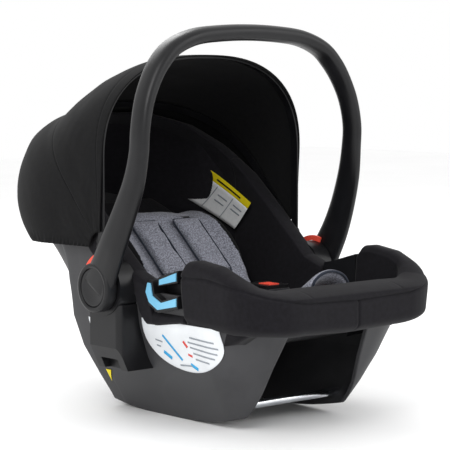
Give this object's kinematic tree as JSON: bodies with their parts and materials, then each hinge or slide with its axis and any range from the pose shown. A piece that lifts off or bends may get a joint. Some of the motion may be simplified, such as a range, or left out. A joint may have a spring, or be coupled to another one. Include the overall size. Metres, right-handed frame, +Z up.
{
  "type": "infant car seat",
  "caption": "Rear-facing infant carrier seat: moulded bucket shell, swinging carry handle, folding canopy, padded covers, infant insert and five-point harness.",
  "frame": {"origin": "on the floor under the middle of the seat", "axes": "+X to the child's left side, +Y towards the head end, +Z up"},
  "size_m": [0.44, 0.662, 0.549],
  "materials": {
    "shell_plastic": "fine textured moulded polypropylene",
    "handle_plastic": "satin moulded polypropylene",
    "guide_plastic": "smooth moulded nylon",
    "steel_tube": "plated steel tube",
    "cover_fabric": "padded black knit polyester",
    "canopy_fabric": "plain woven black polyester",
    "bow_plastic": "extruded plastic strip",
    "melange_fabric": "grey melange jersey",
    "pad_fabric": "padded black knit polyester",
    "foam": "open-cell foam",
    "webbing": "woven polyester webbing",
    "blue_plastic": "light blue moulded insert",
    "red_plastic": "red-orange moulded plastic",
    "steel": "plain steel",
    "label_film": "printed film label",
    "label_cloth": "printed woven label"
  },
  "bodies": {
    "seat": {"adapter_housing_left": "shell_plastic", "adapter_housing_right": "shell_plastic", "adjuster_strap": "webbing", "belt_guide_left": "guide_plastic", "belt_guide_right": "guide_plastic", "buckle_housing": "guide_plastic", "buckle_tongue_left": "steel", "buckle_tongue_right": "steel", "canopy_front_panel": "canopy_fabric", "canopy_mid_bow": "bow_plastic", "canopy_pin_left": "bow_plastic", "canopy_pin_right": "bow_plastic", "canopy_rear_panel": "canopy_fabric", "crotch_pad": "melange_fabric", "crotch_strap": "webbing", "fabric_label": "label_cloth", "foot_cover": "cover_fabric", "front_crossbar": "steel_tube", "guide_lower_inlay_left": "blue_plastic", "guide_lower_inlay_right": "blue_plastic", "guide_upper_inlay_left": "blue_plastic", "guide_upper_inlay_right": "blue_plastic", "handle_pivot_left": "steel", "handle_pivot_right": "steel", "harness_adjuster": "guide_plastic", "harness_yoke": "steel", "head_cover": "cover_fabric", "head_foam": "foam", "hub_boss_left": "shell_plastic", "hub_boss_right": "shell_plastic", "infant_insert": "melange_fabric", "lock_ring_left": "red_plastic", "lock_ring_right": "red_plastic", "rear_belt_hook": "shell_plastic", "rear_crossbar": "steel_tube", "seat_pad": "pad_fabric", "seat_shell": "shell_plastic", "shoulder_pad_left": "melange_fabric", "shoulder_pad_right": "melange_fabric", "shoulder_strap_left": "webbing", "shoulder_strap_right": "webbing", "side_cover_left": "cover_fabric", "side_cover_right": "cover_fabric", "side_label": "label_film"},
    "handle": {"handle": "handle_plastic", "button_spring_left": "steel", "button_spring_right": "steel"},
    "button_left": {"handle_button_left": "handle_plastic"},
    "button_right": {"handle_button_right": "handle_plastic"},
    "canopy_front": {"canopy_front_bow": "bow_plastic", "canopy_hem": "canopy_fabric"},
    "buckle_release": {"buckle_button": "red_plastic"},
    "adjuster_release": {"adjuster_button": "red_plastic"}
  },
  "joints": [
    {"name": "handle_turn", "type": "hinge", "parent": "seat", "child": "handle", "pos_m": [0, -0.035, 0.189], "axis": [1, 0, 0], "range_deg": [-45, 105]},
    {"name": "canopy_fold", "type": "hinge", "parent": "seat", "child": "canopy_front", "pos_m": [0, -0.01, 0.24], "axis": [1, 0, 0], "range_deg": [-34, 0], "deforming": ["canopy_front_panel"]},
    {"name": "handle_button_left_press", "type": "slide", "parent": "handle", "child": "button_left", "axis": [-1, 0, 0], "range_m": [0, 0.003], "stiffness_N_per_m": 2500, "springref_m": -0.002, "deforming": ["button_spring_left"]},
    {"name": "handle_button_right_press", "type": "slide", "parent": "handle", "child": "button_right", "axis": [1, 0, 0], "range_m": [0, 0.003], "stiffness_N_per_m": 2500, "springref_m": -0.002, "deforming": ["button_spring_right"]},
    {"name": "buckle_press", "type": "slide", "parent": "seat", "child": "buckle_release", "axis": [0, 0, -1], "range_m": [0, 0.003], "stiffness_N_per_m": 3000, "springref_m": -0.002},
    {"name": "adjuster_press", "type": "slide", "parent": "seat", "child": "adjuster_release", "axis": [0, 0, -1], "range_m": [0, 0.003], "stiffness_N_per_m": 2000, "springref_m": -0.002}
  ]
}
